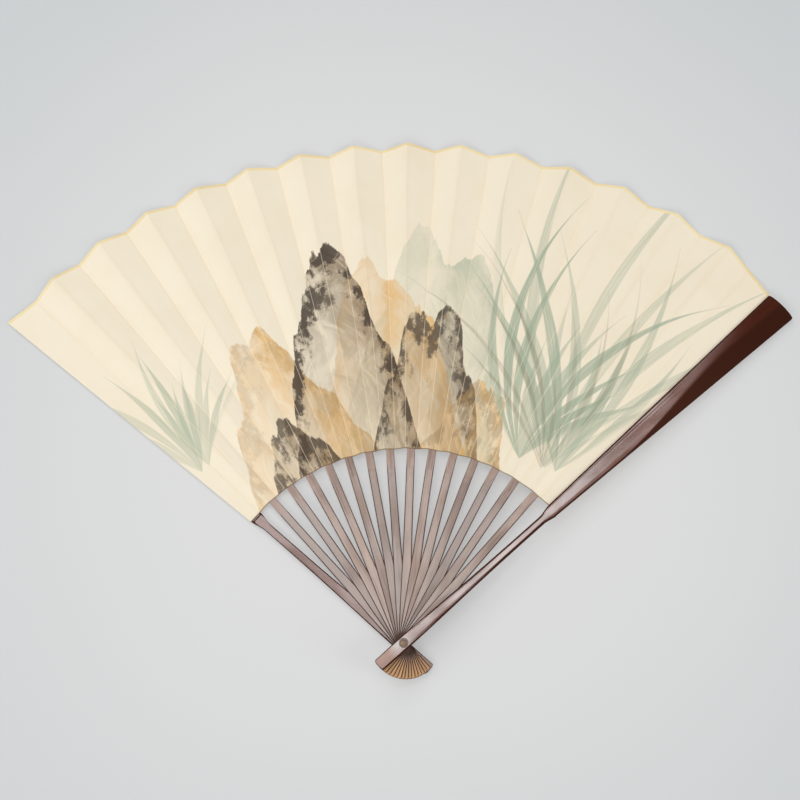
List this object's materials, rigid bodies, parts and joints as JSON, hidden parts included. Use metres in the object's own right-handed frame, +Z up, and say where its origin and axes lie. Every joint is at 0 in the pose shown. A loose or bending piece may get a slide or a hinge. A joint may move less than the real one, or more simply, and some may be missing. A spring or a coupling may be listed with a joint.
{
  "type": "folding fan",
  "caption": "Opened folding fan: a pleated paper leaf on slim sticks between broad crowned guards, turning on a small rivet.",
  "frame": {"origin": "foot of the rivet, on the surface that the fan lies on", "axes": "+Z up along the rivet, +Y along the middle of the opened leaf, +X to the right of it seen from above"},
  "size_m": [0.4613, 0.3225, 0.0205],
  "materials": {
    "guard_bamboo": "polished dark red-brown bamboo",
    "stick_bamboo": "smooth brown bamboo with a soft sheen",
    "leaf_paper": "matt cream paper",
    "rivet_horn": "polished tan horn"
  },
  "bodies": {
    "rear_guard": {"rear_guard": "guard_bamboo", "rear_end_pleat": "leaf_paper", "free_pleat_01": "leaf_paper", "rivet": "rivet_horn", "rear_washer": "rivet_horn"},
    "stick_01": {"stick_01": "stick_bamboo", "rib_pleat_01": "leaf_paper", "free_pleat_02": "leaf_paper"},
    "stick_02": {"stick_02": "stick_bamboo", "rib_pleat_02": "leaf_paper", "free_pleat_03": "leaf_paper"},
    "stick_03": {"stick_03": "stick_bamboo", "rib_pleat_03": "leaf_paper", "free_pleat_04": "leaf_paper"},
    "stick_04": {"stick_04": "stick_bamboo", "rib_pleat_04": "leaf_paper", "free_pleat_05": "leaf_paper"},
    "stick_05": {"stick_05": "stick_bamboo", "rib_pleat_05": "leaf_paper", "free_pleat_06": "leaf_paper"},
    "stick_06": {"stick_06": "stick_bamboo", "rib_pleat_06": "leaf_paper", "free_pleat_07": "leaf_paper"},
    "stick_07": {"stick_07": "stick_bamboo", "rib_pleat_07": "leaf_paper", "free_pleat_08": "leaf_paper"},
    "stick_08": {"stick_08": "stick_bamboo", "rib_pleat_08": "leaf_paper", "free_pleat_09": "leaf_paper"},
    "stick_09": {"stick_09": "stick_bamboo", "rib_pleat_09": "leaf_paper", "free_pleat_10": "leaf_paper"},
    "stick_10": {"stick_10": "stick_bamboo", "rib_pleat_10": "leaf_paper", "free_pleat_11": "leaf_paper"},
    "stick_11": {"stick_11": "stick_bamboo", "rib_pleat_11": "leaf_paper", "free_pleat_12": "leaf_paper"},
    "stick_12": {"stick_12": "stick_bamboo", "rib_pleat_12": "leaf_paper", "free_pleat_13": "leaf_paper"},
    "stick_13": {"stick_13": "stick_bamboo", "rib_pleat_13": "leaf_paper", "free_pleat_14": "leaf_paper"},
    "stick_14": {"stick_14": "stick_bamboo", "rib_pleat_14": "leaf_paper", "free_pleat_15": "leaf_paper"},
    "front_guard": {"front_guard": "guard_bamboo", "front_end_pleat": "leaf_paper", "front_washer": "rivet_horn"}
  },
  "joints": [
    {"name": "fold_01", "type": "hinge", "parent": "rear_guard", "child": "stick_01", "pos_m": [0, 0, 0.0039], "axis": [0.0266, 0.0266, 0.9993], "range_deg": [-0.35, 6.69], "deforming": ["free_pleat_01"]},
    {"name": "fold_02", "type": "hinge", "parent": "stick_01", "child": "stick_02", "pos_m": [-0.00003, -0.00002, 0.0048], "axis": [0.0302, 0.0239, 0.9993], "range_deg": [-0.35, 6.54], "deforming": ["free_pleat_02"]},
    {"name": "fold_03", "type": "hinge", "parent": "stick_02", "child": "stick_03", "pos_m": [-0.00006, -0.00004, 0.0057], "axis": [0.0258, 0.0161, 0.9995], "range_deg": [-0.34, 6.4], "deforming": ["free_pleat_03"]},
    {"name": "fold_04", "type": "hinge", "parent": "stick_03", "child": "stick_04", "pos_m": [-0.00009, -0.00004, 0.0066], "axis": [0.0206, 0.0098, 0.9997], "range_deg": [-0.34, 6.29], "deforming": ["free_pleat_04"]},
    {"name": "fold_05", "type": "hinge", "parent": "stick_04", "child": "stick_05", "pos_m": [-0.00011, -0.00004, 0.0075], "axis": [0.0218, 0.0076, 0.9997], "range_deg": [-0.34, 6.22], "deforming": ["free_pleat_05"]},
    {"name": "fold_06", "type": "hinge", "parent": "stick_05", "child": "stick_06", "pos_m": [-0.00014, -0.00003, 0.0084], "axis": [0.0226, 0.0053, 0.9997], "range_deg": [-0.33, 6.17], "deforming": ["free_pleat_06"]},
    {"name": "fold_07", "type": "hinge", "parent": "stick_06", "child": "stick_07", "pos_m": [-0.00016, -0.00002, 0.0093], "axis": [0.0231, 0.0028, 0.9997], "range_deg": [-0.33, 6.16], "deforming": ["free_pleat_07"]},
    {"name": "fold_08", "type": "hinge", "parent": "stick_07", "child": "stick_08", "pos_m": [-0.00019, 0, 0.01021], "axis": [0.0278, 0.0004, 0.9996], "range_deg": [-0.33, 6.17], "deforming": ["free_pleat_08"]},
    {"name": "fold_09", "type": "hinge", "parent": "stick_08", "child": "stick_09", "pos_m": [-0.00021, 0.00002, 0.01111], "axis": [0.032, -0.003, 0.9995], "range_deg": [-0.34, 6.22], "deforming": ["free_pleat_09"]},
    {"name": "fold_10", "type": "hinge", "parent": "stick_09", "child": "stick_10", "pos_m": [-0.00023, 0.00005, 0.01201], "axis": [0.0312, -0.0064, 0.9995], "range_deg": [-0.34, 6.29], "deforming": ["free_pleat_10"]},
    {"name": "fold_11", "type": "hinge", "parent": "stick_10", "child": "stick_11", "pos_m": [-0.00025, 0.00008, 0.01291], "axis": [0.0298, -0.0096, 0.9995], "range_deg": [-0.34, 6.4], "deforming": ["free_pleat_11"]},
    {"name": "fold_12", "type": "hinge", "parent": "stick_11", "child": "stick_12", "pos_m": [-0.00026, 0.00012, 0.01381], "axis": [0.0279, -0.0126, 0.9995], "range_deg": [-0.35, 6.53], "deforming": ["free_pleat_12"]},
    {"name": "fold_13", "type": "hinge", "parent": "stick_12", "child": "stick_13", "pos_m": [-0.00026, 0.00016, 0.01471], "axis": [0.0256, -0.0154, 0.9996], "range_deg": [-0.36, 6.7], "deforming": ["free_pleat_13"]},
    {"name": "fold_14", "type": "hinge", "parent": "stick_13", "child": "stick_14", "pos_m": [-0.00025, 0.0002, 0.01561], "axis": [0.023, -0.0178, 0.9996], "range_deg": [-0.37, 6.89], "deforming": ["free_pleat_14"]},
    {"name": "fold_15", "type": "hinge", "parent": "stick_14", "child": "front_guard", "pos_m": [-0.00059, 0.00059, 0.01788], "axis": [0.0251, -0.0249, 0.9994], "range_deg": [-0.38, 7.12], "deforming": ["free_pleat_15"]}
  ],
  "couplings": [
    {"joint": "fold_02", "follows": "fold_01", "ratio": 0.9753},
    {"joint": "fold_03", "follows": "fold_01", "ratio": 0.95476},
    {"joint": "fold_04", "follows": "fold_01", "ratio": 0.93882},
    {"joint": "fold_05", "follows": "fold_01", "ratio": 0.92756},
    {"joint": "fold_06", "follows": "fold_01", "ratio": 0.92084},
    {"joint": "fold_07", "follows": "fold_01", "ratio": 0.91859},
    {"joint": "fold_08", "follows": "fold_01", "ratio": 0.92095},
    {"joint": "fold_09", "follows": "fold_01", "ratio": 0.92782},
    {"joint": "fold_10", "follows": "fold_01", "ratio": 0.93904},
    {"joint": "fold_11", "follows": "fold_01", "ratio": 0.9548},
    {"joint": "fold_12", "follows": "fold_01", "ratio": 0.97503},
    {"joint": "fold_13", "follows": "fold_01", "ratio": 0.99976},
    {"joint": "fold_14", "follows": "fold_01", "ratio": 1.029},
    {"joint": "fold_15", "follows": "fold_01", "ratio": 1.063}
  ]
}
